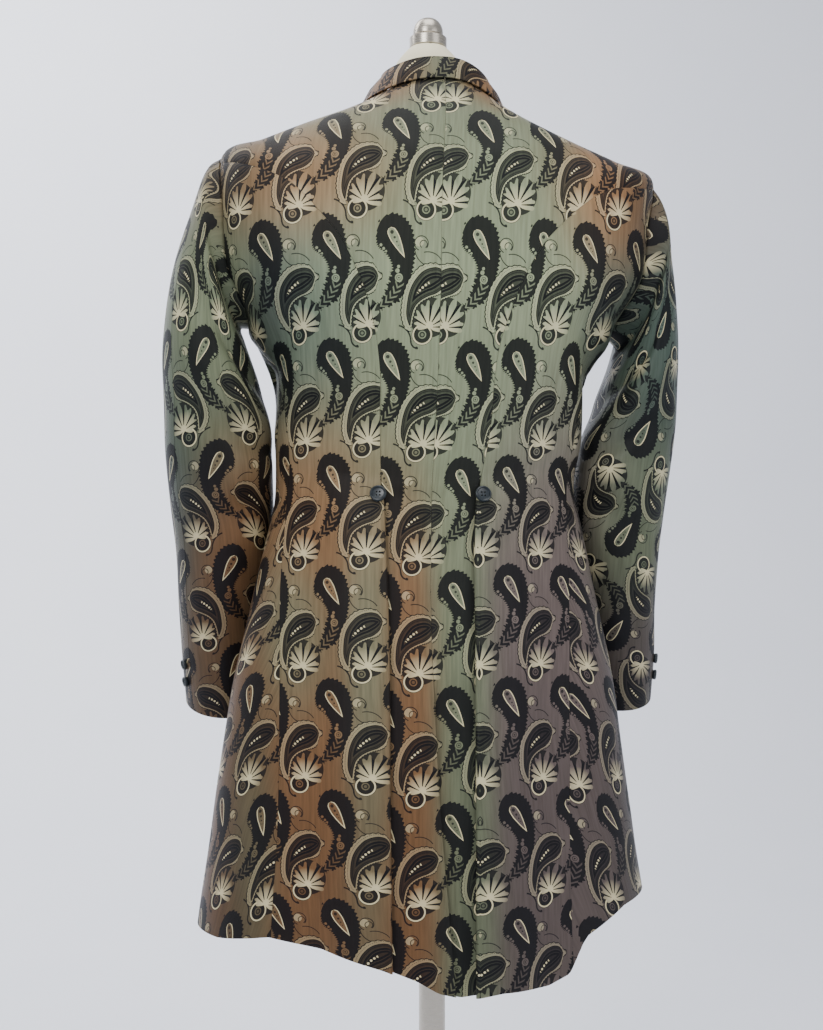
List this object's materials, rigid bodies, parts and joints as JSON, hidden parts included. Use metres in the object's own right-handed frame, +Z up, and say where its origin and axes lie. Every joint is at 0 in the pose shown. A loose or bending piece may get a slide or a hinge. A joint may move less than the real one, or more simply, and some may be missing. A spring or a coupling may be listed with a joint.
{
  "type": "frock coat on dress form",
  "caption": "Knee-length frock coat in paisley brocade with side-back pleats and a back vent, on a limbless padded dress form with a metal pole stand.",
  "frame": {"origin": "centre of the stand's base on the floor", "axes": "+Z up the pole; the coat's front faces -Y and its back +Y; the wearer's left is +X"},
  "size_m": [0.5966, 0.3814, 1.5614],
  "materials": {
    "brocade": "shot silk brocade, soft sheen",
    "buttons": "polished dark horn",
    "form_cover": "plain cotton cover",
    "stand_metal": "brushed"
  },
  "bodies": {
    "root": {"back_left": "brocade", "back_right": "brocade", "side_back_left": "brocade", "side_back_right": "brocade", "front_left": "brocade", "front_right": "brocade", "top_sleeve_left": "brocade", "top_sleeve_right": "brocade", "under_sleeve_left": "brocade", "under_sleeve_right": "brocade", "collar": "brocade", "back_button_left": "buttons", "back_button_right": "buttons", "front_button_1": "buttons", "front_button_2": "buttons", "front_button_3": "buttons", "front_button_4": "buttons", "front_button_5": "buttons", "front_button_6": "buttons", "cuff_button_left_1": "buttons", "cuff_button_left_2": "buttons", "cuff_button_right_1": "buttons", "cuff_button_right_2": "buttons", "form_torso": "form_cover", "form_finial": "stand_metal", "form_pole": "stand_metal", "form_base": "stand_metal"}
  },
  "joints": []
}
